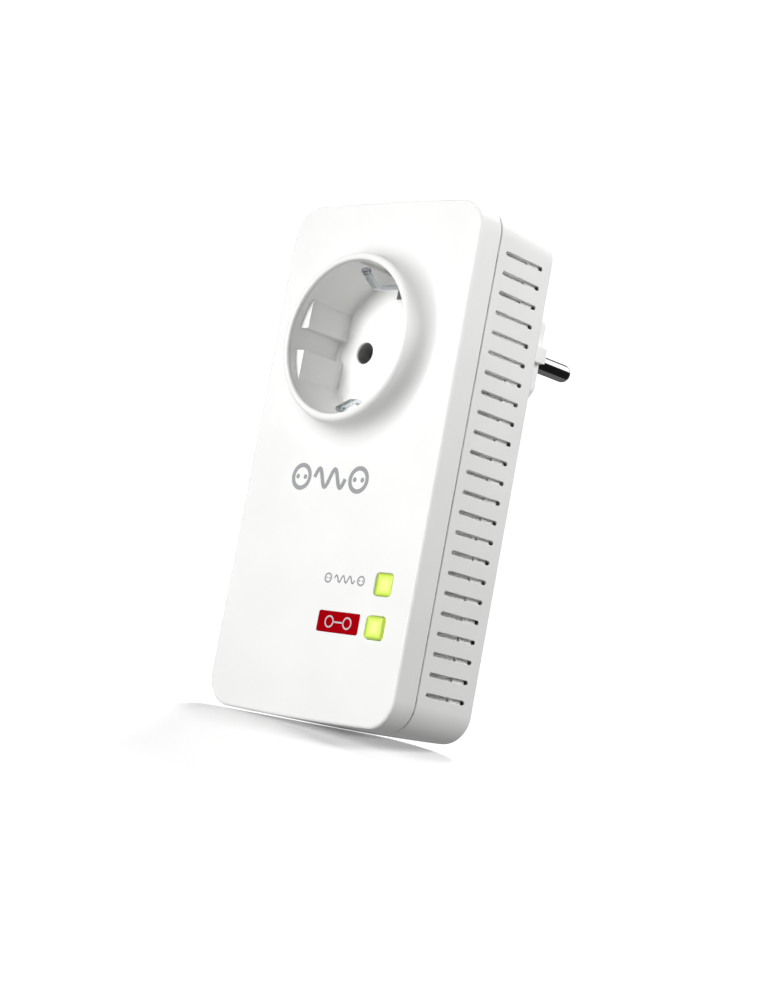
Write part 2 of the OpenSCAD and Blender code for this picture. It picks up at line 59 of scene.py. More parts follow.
# ---- Places, all from the CAD nodes ----
FACE = edges_mm("red_label", 1)[0]
BASE = edges_mm("rear_shell", 2)[0]
WIDTH = edges_mm("rear_shell", 0)[1] - edges_mm("rear_shell", 0)[0]
HEIGHT = edges_mm("rear_shell", 2)[1] - BASE
BACK = edges_mm("rear_shell", 1)[1] - FACE
FRONT_END = edges_mm("front_shell", 1)[1] - FACE
REAR_START = edges_mm("rear_shell", 1)[0] - FACE
SEAM = (FRONT_END + REAR_START) / 2
RING_FRONT = edges_mm("front_shell", 1)[0] - FACE
SOCKET_Z = middle_mm("socket_well", 2) - BASE
PLUG_Z = middle_mm("plug_body", 2) - BASE
PLUG_FACE = edges_mm("plug_body", 1)[1] - FACE
PIN_X_MID = middle_mm("plug_pin_line", 0)
PIN_TIP = edges_mm("plug_pin_line", 1)[1] - FACE
LAMP_X, LAMP_Z = middle_mm("lamp_lens", 0), middle_mm("lamp_lens", 2) - BASE
BUTTON_X, BUTTON_Z = middle_mm("connect_button", 0), middle_mm("connect_button", 2) - BASE
BUTTON_FRONT = edges_mm("connect_button", 1)[0] - FACE
LABEL_X, LABEL_Z = middle_mm("red_label", 0), middle_mm("red_label", 2) - BASE
LABEL_W = edges_mm("red_label", 0)[1] - edges_mm("red_label", 0)[0]
LABEL_H = edges_mm("red_label", 2)[1] - edges_mm("red_label", 2)[0]
JACK_X = edges_mm("network_jack", 0)[1]
JACK_Y = [y - FACE for y in edges_mm("network_jack", 1)]
FRAME_X = edges_mm("port_frame", 0)
FRAME_Y = [y - FACE for y in edges_mm("port_frame", 1)]
TO_FRAME = Matrix.Translation((0, FACE * MM, BASE * MM)) @ Matrix.Scale(MM, 4)

# ---- Sizes of the moulded detail ----
WALL = 2.0
CORNER_R = 7.5
FRONT_LEAN = 0.25
BACK_LEAN = 1.4
BACK_DROP = 0.9
TOP_CROWN = 0.54
BASE_CROWN = 0.65
FRONT_FILLET = 0.8
BACK_FILLET = 3.2
EDGE_BREAK = 0.15
FIT = 0.06
CORNER_STEPS = 12
CROWN_STEPS = 12
RECESS_R = 19.7
RING_R = 21.7
SKIRT_R = 27.5
SHOULDER_R = 20.8
SHOULDER_Y = -6.2
FLOOR_Y = 10.2
CONTROL = 5.6
SLOT_COUNT, SLOT_PITCH, SLOT_LOW = 23, 4.98, 11.0
SLOT_START, SLOT_END, SLOT_R = 10.4, 25.4, 0.55
SLOT_EDGE = 0.07
SLOT_FLARE = 1.5
SPRING_HALF = 1.1
# The front shell's rim is rebated, and the rear shell's tongue laps inside it
LAP = 1.05
LAP_FRONT, TONGUE_FRONT = FRONT_END - 0.9, FRONT_END - 0.85
LABEL_DEEP = 0.4
SHARP = math.radians(32)
# Printed lines stand a little proud of the face and reach a little into it
PRINT_FRONT, PRINT_BACK = -0.03, 0.05
# Liners behind the slots, as y range, z range and depth below the side wall: one behind the slots'
# rear half, a deeper one in two lengths behind their front half, with a pad between the two that
# is level with the plug, and a deep one behind their rear ends
LINER_LOW, LINER_HIGH = 8.6, HEIGHT - 8.6
LINERS = ((20.8, 25.2, LINER_LOW, LINER_HIGH, 1.1),
          (9.0, 20.5, LINER_LOW, 93.0, 1.8),
          (9.0, 20.5, 108.5, LINER_HIGH, 1.8),
          (9.0, 20.8, 93.5, 108.0, 1.2),
          (25.6, 27.6, LINER_LOW, LINER_HIGH, 2.2))


# ---- Outlines: lists of (x, z) points ----
def arc(x, z, r, start, end, steps):
    angles = [math.radians(start + (end - start) * i / steps) for i in range(steps + 1)]
    return [(x + r * math.cos(a), z + r * math.sin(a)) for a in angles]


def circle(x, z, r, steps):
    return arc(x, z, r, 0, 360, steps)[:-1]


def rounded_box(x, z, w, h, r, steps=6):
    w, h = w / 2 - r, h / 2 - r
    return (arc(x + w, z + h, r, 0, 90, steps) + arc(x - w, z + h, r, 90, 180, steps)
            + arc(x - w, z - h, r, 180, 270, steps) + arc(x + w, z - h, r, 270, 360, steps))


def at_depth(outline, y):
    return [(x, y, z) for x, z in outline]


def side_half(y):
    """Half the housing's width at depth y."""
    front = FRONT_LEAN * max(0, SEAM - y) / SEAM
    return WIDTH / 2 - front - BACK_LEAN * max(0, y - SEAM) / (BACK - SEAM)


def housing_loop(y, inset):
    """The housing's outline at depth y, crowned at the top and base, as 3-D points."""
    half = side_half(y) - inset
    drop = FRONT_LEAN * max(0, SEAM - y) / SEAM + BACK_DROP * max(0, y - SEAM) / (BACK - SEAM)
    top = HEIGHT - drop - inset
    r = max(CORNER_R - inset, 1)
    across = [(half - r) * (1 - 2 * i / CROWN_STEPS) for i in range(1, CROWN_STEPS)]
    flat = (arc(half - r, top - r, r, 0, 90, CORNER_STEPS) + [(x, top) for x in across]
            + arc(r - half, top - r, r, 90, 180, CORNER_STEPS)
            + arc(r - half, inset + r, r, 180, 270, CORNER_STEPS) + [(-x, inset) for x in across]
            + arc(half - r, inset + r, r, 270, 360, CORNER_STEPS))
    loop = []
    for x, z in flat:
        up = z / HEIGHT
        crown = (BASE_CROWN * (1 - up) - TOP_CROWN * up) * (2 * x / WIDTH) ** 2
        loop.append((x, y, z + crown))
    return loop


LEFT_SIDE = 2 * CORNER_STEPS + CROWN_STEPS
RIGHT_SIDE = 4 * CORNER_STEPS + 2 * CROWN_STEPS + 1


def plug_loop(y, margin):
    """The plug body's outline: a circle with two flats and a rib across each flat."""
    r, flat, rib, rib_x = 18.7 + margin, 16.6 + margin, 2 + margin, 18.5 + margin
    corner = math.degrees(math.acos(flat / r))
    quarter = [(rib_x, rib), (flat, rib)] + arc(0, 0, r, corner, 90, 24)
    upper = quarter + [(-x, z) for x, z in reversed(quarter[:-1])]
    full = upper + [(-x, -z) for x, z in upper]
    return [(x, y, PLUG_Z + z) for x, z in full]


# ---- Mesh building ----
def mark_edges(bm):
    """Edges that turn by SHARP or more stay hard, and so do open ones."""
    for e in bm.edges:
        e.smooth = e.calc_face_angle(math.pi) < SHARP


def smooth_faces(bm):
    for f in bm.faces:
        f.smooth = True


def even_normals(piece):
    piece.modifiers.new("even_normals", "WEIGHTED_NORMAL").keep_sharp = True


def to_object(bm, name, material):
    """Turns a bmesh into a smooth object in the scene."""
    smooth_faces(bm)
    mesh = bpy.data.meshes.new(name)
    bm.to_mesh(mesh)
    bm.free()
    made = bpy.data.objects.new(name, mesh)
    bpy.context.scene.collection.objects.link(made)
    mesh.materials.append(material)
    return made


class Skin:
    """A mesh that is built from loops of points, in housing millimetres."""

    def __init__(self):
        self.bm = bmesh.new()

    def loop(self, points):
        return [self.bm.verts.new(p) for p in points]

    def band(self, a, b, skip=()):
        count = len(a)
        for i in range(count):
            j = (i + 1) % count
            if i not in skip:
                self.bm.faces.new((a[i], a[j], b[j], b[i]))

    def loft(self, rows, skip=None):
        """Joins rows of points with bands. skip gives, by row, the segments left open after it."""
        loops = [self.loop(row) for row in rows]
        for i in range(len(loops) - 1):
            self.band(loops[i], loops[i + 1], (skip or {}).get(i, ()))
        return loops

    def fill(self, *loops):
        """Fills a flat region: the first loop is its border and the others are holes in it."""
        rim = []
        for verts in loops:
            for i, v in enumerate(verts):
                w = verts[(i + 1) % len(verts)]
                rim.append(self.bm.edges.get((v, w)) or self.bm.edges.new((v, w)))
        bmesh.ops.triangle_fill(self.bm, use_beauty=True, edges=rim)

    def turned(self, profile, x, z, steps):
        """Turns a profile of (radius, y) about an axis along y through x and z."""
        return self.loft([at_depth(circle(x, z, r, steps), y) for r, y in profile])

    def box(self, x, y, z, r):
        """A closed box between pairs of coordinates, with rounded edges."""
        made = bmesh.ops.create_cube(self.bm, size=1)["verts"]
        for v in made:
            v.co = Vector([(a + b) / 2 + c * (b - a) for (a, b), c in zip((x, y, z), v.co)])
        rim = list({e for v in made for e in v.link_edges})
        bmesh.ops.bevel(self.bm, geom=rim, offset=r, segments=2, affect="EDGES", profile=0.5)

    def finish(self, name, material):
        """Makes the piece, in the CAD frame."""
        bmesh.ops.recalc_face_normals(self.bm, faces=self.bm.faces)
        mark_edges(self.bm)
        self.bm.transform(TO_FRAME)
        piece = to_object(self.bm, name, material)
        even_normals(piece)
        return piece


def cut(piece, cutters):
    """Cuts skins out of a finished piece and applies the result."""
    piece.modifiers.clear()
    tools = [skin.finish("tool", piece.data.materials[0]) for skin in cutters]
    for tool in tools:
        step = piece.modifiers.new("cut", "BOOLEAN")
        step.object, step.operation, step.solver = tool, "DIFFERENCE", "EXACT"
    bpy.context.view_layer.update()
    graph = bpy.context.evaluated_depsgraph_get()
    mesh = bpy.data.meshes.new_from_object(piece.evaluated_get(graph))
    piece.modifiers.clear()
    piece.data = mesh
    for tool in tools:
        bpy.data.objects.remove(tool)
    bm = bmesh.new()
    bm.from_mesh(mesh)
    bmesh.ops.remove_doubles(bm, verts=bm.verts, dist=0.002 * MM)
    bmesh.ops.dissolve_degenerate(bm, edges=bm.edges, dist=0.001 * MM)
    mark_edges(bm)
    smooth_faces(bm)
    bm.to_mesh(mesh)
    bm.free()
    even_normals(piece)
    return piece


def place(piece, body, nodes=()):
    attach(piece, body)
    if nodes:
        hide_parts(*nodes)
    return piece


# ---- Materials ----
def link(tree, source, socket, target, into):
    tree.links.new(source.outputs[socket], target.inputs[into])


def noise(tree, place_from, scale, detail=3.0):
    node = tree.nodes.new("ShaderNodeTexNoise")
    node.inputs["Scale"].default_value = scale
    node.inputs["Detail"].default_value = detail
    tree.links.new(place_from, node.inputs["Vector"])
    return node


def ramp(tree, source, socket, stops):
    """Turns a value into a colour. stops are (position, colour) pairs."""
    node = tree.nodes.new("ShaderNodeValToRGB")
    ends = list(node.color_ramp.elements)
    for end, (position, colour) in zip(ends, (stops[0], stops[-1])):
        end.position, end.color = position, (*colour, 1)
    for position, colour in stops[1:-1]:
        node.color_ramp.elements.new(position).color = (*colour, 1)
    link(tree, source, socket, node, "Fac")
    return node


def surface(name, colour, rough, grain=900.0, bump=0.03, vary=0.015, mottle=60.0, stretch=None,
            **sockets):
    """A moulded, cast or drawn surface: fine grain as bump, slow changes of shade and gloss."""
    material = bpy.data.materials.new(name)
    material.use_nodes = True
    tree = material.node_tree
    shader = tree.nodes["Principled BSDF"]
    where = tree.nodes.new("ShaderNodeTexCoord").outputs["Object"]
    if stretch:
        mapping = tree.nodes.new("ShaderNodeMapping")
        mapping.inputs["Scale"].default_value = stretch
        tree.links.new(where, mapping.inputs["Vector"])
        where = mapping.outputs["Vector"]
    slow = noise(tree, where, mottle)
    darker = [c * (1 - vary) for c in colour]
    lighter = [min(1, c * (1 + vary)) for c in colour]
    tint = ramp(tree, slow, "Fac", [(0.3, darker), (0.7, lighter)])
    link(tree, tint, "Color", shader, "Base Color")
    gloss = tree.nodes.new("ShaderNodeMapRange")
    gloss.inputs["From Min"].default_value, gloss.inputs["From Max"].default_value = 0.3, 0.7
    gloss.inputs["To Min"].default_value = rough * 0.9
    gloss.inputs["To Max"].default_value = rough * 1.1
    link(tree, slow, "Fac", gloss, "Value")
    link(tree, gloss, "Result", shader, "Roughness")
    fine = noise(tree, where, grain, 6.0)
    relief = tree.nodes.new("ShaderNodeBump")
    relief.inputs["Strength"].default_value = bump
    relief.inputs["Distance"].default_value = 0.02 * MM
    link(tree, fine, "Fac", relief, "Height")
    link(tree, relief, "Normal", shader, "Normal")
    for socket, value in sockets.items():
        shader.inputs[socket.replace("_", " ")].default_value = value
    return material


def glowing(name, centre, edge_colour, mid_colour, core_colour, strength):
    """A lit light guide: a pale core that turns greener and darker towards its edges."""
    material = surface(name, edge_colour, 0.25, bump=0.02)
    tree = material.node_tree
    shader = tree.nodes["Principled BSDF"]
    where = tree.nodes.new("ShaderNodeTexCoord")
    mapping = tree.nodes.new("ShaderNodeMapping")
    x, z = centre
    reach = CONTROL / 2 * MM
    mapping.inputs["Scale"].default_value = (1 / reach, 1, 1 / reach)
    mapping.inputs["Location"].default_value = (-x * MM / reach, 0, -(z + BASE) * MM / reach)
    link(tree, where, "Object", mapping, "Vector")
    parts = tree.nodes.new("ShaderNodeSeparateXYZ")
    link(tree, mapping, "Vector", parts, "Vector")
    outward = tree.nodes.new("ShaderNodeMath")
    outward.operation = "MAXIMUM"
    for i, axis in enumerate("XZ"):
        size = tree.nodes.new("ShaderNodeMath")
        size.operation = "ABSOLUTE"
        link(tree, parts, axis, size, 0)
        link(tree, size, "Value", outward, i)
    stops = [(0.35, core_colour), (0.78, mid_colour), (0.98, edge_colour)]
    glow = ramp(tree, outward, "Value", stops)
    link(tree, glow, "Color", shader, "Emission Color")
    shader.inputs["Emission Strength"].default_value = strength
    return material


WHITE = surface("white_plastic", (0.82, 0.82, 0.81), 0.38, Specular_IOR_Level=0.35)
WELL = surface("well_plastic", (0.87, 0.872, 0.858), 0.36)
# The tubes' dark grey is painted shade: it darkens the pin holes, where the tubes are white plastic
HOLE_SHADE_GREY = surface("tube_painted_shade", (0.36, 0.36, 0.355), 0.45)
CHROME = surface("nickel_plating", (0.86, 0.87, 0.88), 0.07, grain=300.0, bump=0.002, Metallic=1.0)
STEEL = surface("spring_steel", (0.62, 0.65, 0.68), 0.28, stretch=(8, 1, 8), Metallic=1.0)
PRINT = surface("grey_print", (0.29, 0.298, 0.305), 0.45, grain=1500.0, vary=0.03)
RED = surface("red_film", (0.33, 0.0, 0.004), 0.6, vary=0.03, Specular_IOR_Level=0.0)
PALE_PRINT = surface("pale_print", (0.5, 0.46, 0.47), 0.45, grain=1500.0, vary=0.03)

# Looks of the CAD nodes that stay, and the nodes that have each look
CAD_LOOKS = {
    # The shutter's near black is painted shade that darkens the pin holes behind the floor
    "shutter_painted_shade": surface("shutter_painted_shade", (0.14, 0.145, 0.14), 0.4),
    "nickel": CHROME,
    "spring_steel": STEEL,
    "black_plastic": surface("black_plastic", (0.03, 0.03, 0.032), 0.45),
    "zinc": surface("zinc_plating", (0.7, 0.72, 0.75), 0.3, Metallic=1.0),
    "brass": surface("brass_strip", (0.78, 0.58, 0.27), 0.25, stretch=(1, 1, 6), Metallic=1.0),
    "lead_insulation": surface("lead_insulation", (0.2, 0.09, 0.05), 0.5),
    "led_resin": surface("led_resin", (0.85, 0.85, 0.6), 0.2, Transmission_Weight=0.2),
    "board_green": surface("solder_mask", (0.012, 0.09, 0.04), 0.3, mottle=400.0, vary=0.25),
    "gold_contacts": surface("gold_contacts", (0.9, 0.66, 0.25), 0.2, Metallic=1.0),
    "chip_black": surface("chip_epoxy", (0.02, 0.02, 0.022), 0.55, grain=1800.0, bump=0.08),
    "heat_sink_metal": surface("heat_sink_metal", (0.6, 0.61, 0.63), 0.4, stretch=(1, 1, 6),
                               Metallic=1.0),
    "winding": surface("enamelled_winding", (0.45, 0.2, 0.08), 0.3, stretch=(1, 20, 1), bump=0.3),
    "capacitor_sleeve": surface("capacitor_sleeve", (0.02, 0.03, 0.07), 0.3),
    "capacitor_box": surface("capacitor_box", (0.6, 0.42, 0.05), 0.4),
    "varistor_blue": surface("varistor_blue", (0.02, 0.06, 0.3), 0.4, bump=0.1),
    "sheet_film": surface("insulating_film", (0.7, 0.67, 0.5), 0.5),
}
NODE_LOOKS = {
    "nickel": ["earth_bracket", "plug_earth_bracket", "earth_rivet", "network_jack", "crystal"],
    "shutter_painted_shade": ["safety_shutter"],
    "spring_steel": ["shutter_spring"],
    "zinc": ["carrier_screws", "case_screws", "board_screws"],
    "brass": ["contact_line", "contact_neutral"],
    "lead_insulation": ["mains_leads"],
    "black_plastic": ["contact_carrier", "switch_plunger", "switch_body", "board_header",
                      "network_transformer"],
    "led_resin": ["lamp_led", "button_led"],
    "board_green": ["logic_board", "power_board"],
    "gold_contacts": ["jack_contacts"],
    "chip_black": ["processor", "memory_chip", "flash_chip", "bridge_rectifier", "fuse"],
    "heat_sink_metal": ["heat_sink"],
    "winding": ["line_choke", "power_transformer", "line_coupler"],
    "capacitor_sleeve": ["bulk_capacitors", "output_capacitors"],
    "capacitor_box": ["x_capacitor"],
    "varistor_blue": ["varistor"],
    "sheet_film": ["insulating_sheet"],
}
for look, members in NODE_LOOKS.items():
    for member in members:
        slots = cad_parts[member].data.materials
        slots.clear()
        slots.append(CAD_LOOKS[look])


# ---- Front cover: face, socket ring and its skirt, windows and the label's recess ----
def lip_profile():
    """Radius and y of the ring, from the foot of its skirt over the lip to the well's shoulder."""
    skirt = SKIRT_R - RING_R
    outer, inner = 1.3, 0.7
    foot = [(SKIRT_R + x, y - skirt) for x, y in arc(0, 0, skirt, 90, 180, 18)]
    lip = [(RING_R - outer + x, RING_FRONT + outer - z) for x, z in arc(0, 0, outer, 0, 90, 8)]
    bore = [(RECESS_R + inner - x, RING_FRONT + inner - z) for x, z in arc(0, 0, inner, 90, 0, 6)]
    return foot + lip + bore + [(RECESS_R, SHOULDER_Y), (SHOULDER_R, SHOULDER_Y),
                                (SHOULDER_R, WALL)]


def window(skin, x, z, size, r):
    """A square window with broken edges through the front wall; returns its first and last loop."""
    rows = [(0, 2 * EDGE_BREAK), (EDGE_BREAK, 0), (WALL, 0)]
    loops = skin.loft([at_depth(rounded_box(x, z, size + grow, size + grow, r + grow / 2), y)
                       for y, grow in rows])
    return loops[0], loops[-1]


def front_cover():
    skin = Skin()
    fillet = [(FRONT_FILLET * (1 - math.cos(a)), FRONT_FILLET * (1 - math.sin(a)))
              for a in [math.radians(15 * i) for i in range(7)]]
    rows = fillet + [(FRONT_END - EDGE_BREAK, 0), (FRONT_END, EDGE_BREAK), (FRONT_END, LAP),
                     (LAP_FRONT, LAP), (LAP_FRONT, WALL), (WALL, WALL)]
    body = skin.loft([housing_loop(y, inset) for y, inset in rows])
    ring = skin.turned(lip_profile(), 0, SOCKET_Z, 128)
    lamp_gap, button_gap, label_gap, window_r, label_r = 0.2, 0.3, 0.1, 1.1, 0.6
    lamp = window(skin, LAMP_X, LAMP_Z, CONTROL + lamp_gap, window_r)
    button = window(skin, BUTTON_X, BUTTON_Z, CONTROL + button_gap, window_r)
    border = rounded_box(LABEL_X, LABEL_Z, LABEL_W + label_gap, LABEL_H + label_gap, label_r)
    label = skin.loft([at_depth(border, y) for y in (0, LABEL_DEEP)])
    skin.fill(body[0], ring[0], lamp[0], button[0], label[0])
    skin.fill(label[1])
    skin.fill(body[-1], ring[-1], lamp[1], button[1])
    return place(skin.finish("front_cover", WHITE), HOUSING, ["front_shell"])


# ---- Rear cover: tongue, vented sides, screw wells, the plug's hole and the port's mouth ----
def slot_loop(side, z, inset, r, longer=0.0):
    """A slot's outline at a depth below the side wall; its rear end may reach further back."""
    rear = arc(SLOT_END - SLOT_R + longer, 0, r, -90, 90, 8)
    front = arc(SLOT_START + SLOT_R, 0, r, 90, 270, 8)
    return [(side * (side_half(y) - inset), y, z + up) for y, up in rear + front]


def vented_side(skin, side, outer, inner):
    """Fills the outer and inner side panels, with the slots between them."""
    outer_holes, inner_holes = [], []
    for i in range(SLOT_COUNT):
        z = SLOT_LOW + i * SLOT_PITCH
        loops = skin.loft([slot_loop(side, z, 0, SLOT_R + SLOT_EDGE),
                           slot_loop(side, z, SLOT_EDGE, SLOT_R),
                           slot_loop(side, z, WALL, SLOT_R, SLOT_FLARE)])
        outer_holes.append(loops[0])
        inner_holes.append(loops[-1])
    skin.fill(outer, *outer_holes)
    skin.fill(inner, *inner_holes)


def screw_well(skin, x, z):
    """The boss round a case screw; returns its loops on the outer and the inner back face."""
    head_r, shank_r, boss_r, seat, boss_end = 2.9, 1.6, 3.9, 21.0, 19.5
    rows = [(head_r + EDGE_BREAK, BACK), (head_r, BACK - EDGE_BREAK), (head_r, seat),
            (shank_r, seat), (shank_r, boss_end), (boss_r, boss_end), (boss_r, BACK - WALL)]
    loops = skin.turned(rows, x, z, 32)
    return loops[0], loops[-1]


def rear_cover():
    skin = Skin()
    tongue = 1.15
    turn_in = BACK_FILLET - WALL
    inner_panel = (BACK - BACK_FILLET - 0.4, 9.0)
    outer_panel = (REAR_START + EDGE_BREAK, BACK - BACK_FILLET)
    rows = [(BACK - WALL, WALL + turn_in), (BACK - WALL - turn_in * 0.3, WALL + turn_in * 0.3),
            (BACK - WALL - turn_in, WALL), (inner_panel[0], WALL), (inner_panel[1], WALL),
            (TONGUE_FRONT, WALL), (TONGUE_FRONT, tongue), (REAR_START, tongue),
            (REAR_START, EDGE_BREAK), (outer_panel[0], 0), (outer_panel[1], 0)]
    rows += [(BACK - BACK_FILLET * (1 - math.sin(a)), BACK_FILLET * (1 - math.cos(a)))
             for a in [math.radians(10 * i) for i in range(1, 10)]]
    sides = (LEFT_SIDE, RIGHT_SIDE)
    inner_row, outer_row = 3, 9
    body = skin.loft([housing_loop(y, inset) for y, inset in rows],
                     {inner_row: sides, outer_row: sides})
    for segment, side in ((LEFT_SIDE, -1), (RIGHT_SIDE, 1)):
        after = (segment + 1) % len(body[0])
        panels = [[body[i][segment], body[i][after], body[i + 1][after], body[i + 1][segment]]
                  for i in (outer_row, inner_row)]
        vented_side(skin, side, *panels)
    gap, wide_gap = 0.1, 0.2
    plug_hole = skin.loft([plug_loop(BACK, wide_gap), plug_loop(BACK - EDGE_BREAK, gap),
                           plug_loop(BACK - WALL, gap)])
    post_x, post_low, post_high = 24.5, 9.5, HEIGHT - 9.5
    wells = [screw_well(skin, x, z) for x in (-post_x, post_x) for z in (post_low, post_high)]
    skin.fill(body[-1], plug_hole[0], *[w[0] for w in wells])
    skin.fill(body[0], plug_hole[-1], *[w[1] for w in wells])
    piece = skin.finish("rear_cover", WHITE)
    notch = Skin()
    notch.box((FRAME_X[0] - FIT, FRAME_X[1] + FIT), (REAR_START - FIT, FRAME_Y[1] + FIT),
              (-1, WALL + FIT), 0.02)
    return place(cut(piece, [notch]), HOUSING, ["rear_shell"])


def vent_liners():
    """White shields behind the slots; they keep fingers away from the boards."""
    skin = Skin()
    thick = 1.3
    for side in (-1, 1):
        for y0, y1, z0, z1, deep in LINERS:
            reach = side_half(y1) - deep
            skin.box(sorted((side * (reach - thick), side * reach)), (y0, y1), (z0, z1), 0.1)
    return place(skin.finish("vent_liners", WHITE), HOUSING)


def port_surround():
    """The plain frame that is let into the base round the network port's mouth."""
    skin, mouth = Skin(), Skin()
    gap = 0.3
    skin.box(FRAME_X, FRAME_Y, (FIT, WALL), 0.12)
    mouth.box((-JACK_X - gap, JACK_X + gap), (JACK_Y[0] - gap, JACK_Y[1] + gap), (-1, WALL + 1),
              0.25)
    piece = cut(skin.finish("port_surround", WHITE), [mouth])
    return place(piece, HOUSING, ["port_frame"])


# ---- Socket recess: a deep cup with flat guides, holes and room for the earth springs ----
def recess_hollow():
    """The space inside the recess: a round cup with a bottom radius, less its four flat guides."""
    hollow = Skin()
    corner, draft = 0.8, 0.45
    bottom_r = RECESS_R - draft
    rows = [(RECESS_R + 0.1, -8), (RECESS_R, SHOULDER_Y), (RECESS_R - 0.05, -4.2),
            (bottom_r, FLOOR_Y - corner)]
    rows += [(bottom_r - corner + x, FLOOR_Y - corner + z) for x, z in arc(0, 0, corner, 15, 90, 5)]
    loops = hollow.turned(rows, 0, SOCKET_Z, 128)
    hollow.fill(loops[0])
    hollow.fill(loops[-1])
    space = hollow.finish("space", WELL)
    guide_x, guide_gap, guide_front, outside = 16.6, 2.8, -4.1, 25
    guides = []
    for side in (-1, 1):
        for up in (-1, 1):
            guide = Skin()
            guide.box(sorted((side * guide_x, side * outside)), (guide_front, FLOOR_Y + 5),
                      sorted((SOCKET_Z + up * guide_gap, SOCKET_Z + up * outside)), 0.25)
            guides.append(guide)
    cut(space, guides)
    tool = Skin()
    tool.bm.from_mesh(space.data)
    tool.bm.transform(TO_FRAME.inverted())
    bpy.data.objects.remove(space)
    return tool


def spring_openings():
    """A slot in the recess's wall and one in its floor for each earth spring."""
    half = SPRING_HALF + 0.5
    openings = []
    for up in (-1, 1):
        for y, reach in (((-4.9, FLOOR_Y + 1), (18.5, 20.2)),
                         ((FLOOR_Y - 1, FLOOR_Y + 4), (14.1, 19.4))):
            opening = Skin()
            opening.box((-half, half), y, sorted(SOCKET_Z + up * r for r in reach), 0.1)
            openings.append(opening)
    return openings


def pin_opening(x):
    """A hole in the floor with a broken edge, wider behind so that its tube fits in."""
    edge_r, hole_r, behind_r = 3.0, 2.8, 3.3
    opening = Skin()
    rows = [(edge_r + 0.1, FLOOR_Y - 1), (edge_r, FLOOR_Y), (hole_r, FLOOR_Y + 0.25),
            (hole_r, FLOOR_Y + 0.7), (behind_r, FLOOR_Y + 0.7), (behind_r, FLOOR_Y + 6)]
    loops = opening.turned(rows, x, SOCKET_Z, 48)
    opening.fill(loops[0])
    opening.fill(loops[-1])
    return opening


def socket_recess():
    cup = Skin()
    outer_r = 20.7
    outer = [(RECESS_R + 0.3, SHOULDER_Y + 0.1), (outer_r, SHOULDER_Y + 0.3),
             (outer_r, FLOOR_Y + 2.2)]
    loops = cup.turned(outer, 0, SOCKET_Z, 128)
    cup.fill(loops[0])
    cup.fill(loops[-1])
    piece = cup.finish("socket_recess", WELL)
    openings = [recess_hollow()] + spring_openings()
    openings += [pin_opening(x) for x in (-PIN_X_MID, PIN_X_MID)]
    return place(cut(piece, openings), HOUSING, ["socket_well"])


def hole_tubes():
    """Short tubes behind the floor that lead the guest pins to the shutter, in a dark grey that
    paints the shade inside the pin holes.
    """
    skin = Skin()
    bore_r, neck_r, tube_r = 2.85, 3.25, 4.2
    start, step, end = FLOOR_Y + 0.75, FLOOR_Y + 2.3, FLOOR_Y + 4.8
    rows = [(bore_r, start), (bore_r, end), (tube_r, end), (tube_r, step), (neck_r, step),
            (neck_r, start)]
    for x in (-PIN_X_MID, PIN_X_MID):
        loops = skin.turned(rows, x, SOCKET_Z, 48)
        skin.band(loops[-1], loops[0])
    return place(skin.finish("hole_tubes", HOLE_SHADE_GREY), HOUSING)


# ---- Earth springs: formed leaves with a rolled eye ----
def softened(path, r, steps=4):
    """A path of (y, radius) points with its inner corners rounded."""
    points = [Vector(path[0])]
    for before, here, after in zip(path, path[1:], path[2:]):
        here = Vector(here)
        back, ahead = Vector(before) - here, Vector(after) - here
        reach = min(r, back.length * 0.45, ahead.length * 0.45)
        start, end = here + back.normalized() * reach, here + ahead.normalized() * reach
        for i in range(steps + 1):
            t = i / steps
            points.append(start * (1 - t) ** 2 + here * 2 * t * (1 - t) + end * t ** 2)
    return points + [Vector(path[-1])]


# Middle line of a leaf and of its eye, and the eye's section as (radius, share of half the width)
LEAF_PATH = [(12.8, 17.75), (9.2, 17.35), (7.3, 16.45), (2.2, 14.75), (0.7, 14.6), (-3.2, 17.15)]
EYE = Vector((-3.55, 17.7))
EYE_SECTION = [(0.42, -1), (0.72, -1), (0.82, -0.9), (0.82, 0.9), (0.72, 1), (0.42, 1)]
EYE_STEPS = 28


def earth_leaf(name, up, body, node):
    """A leaf; up is 1 for the upper one and -1 for the lower one."""
    skin = Skin()
    thick, bevel = 0.55, 0.14
    wide, high = 1 - bevel, 1 - bevel / thick
    section = [(1, high), (wide, 1), (-wide, 1), (-1, high),
               (-1, -high), (-wide, -1), (wide, -1), (1, -high)]
    centre_line = softened(LEAF_PATH, 0.9)
    last = len(centre_line) - 1
    rows = []
    for i, p in enumerate(centre_line):
        ahead = centre_line[min(i + 1, last)] - centre_line[max(i - 1, 0)]
        normal = Vector((-ahead.y, ahead.x)).normalized()
        edge = [(x, p + normal * thick * t) for x, t in section]
        rows.append([(x * SPRING_HALF, q.x, SOCKET_Z + up * q.y) for x, q in edge])
    loops = skin.loft(rows)
    skin.fill(loops[0])
    skin.fill(loops[-1])
    turns = [2 * math.pi * i / EYE_STEPS for i in range(EYE_STEPS)]
    curl = [[(x * SPRING_HALF, EYE.x + r * math.cos(a), SOCKET_Z + up * (EYE.y + r * math.sin(a)))
             for a in turns] for r, x in EYE_SECTION]
    loops = skin.loft(curl)
    skin.band(loops[-1], loops[0])
    return place(skin.finish(name, STEEL), body, [node])


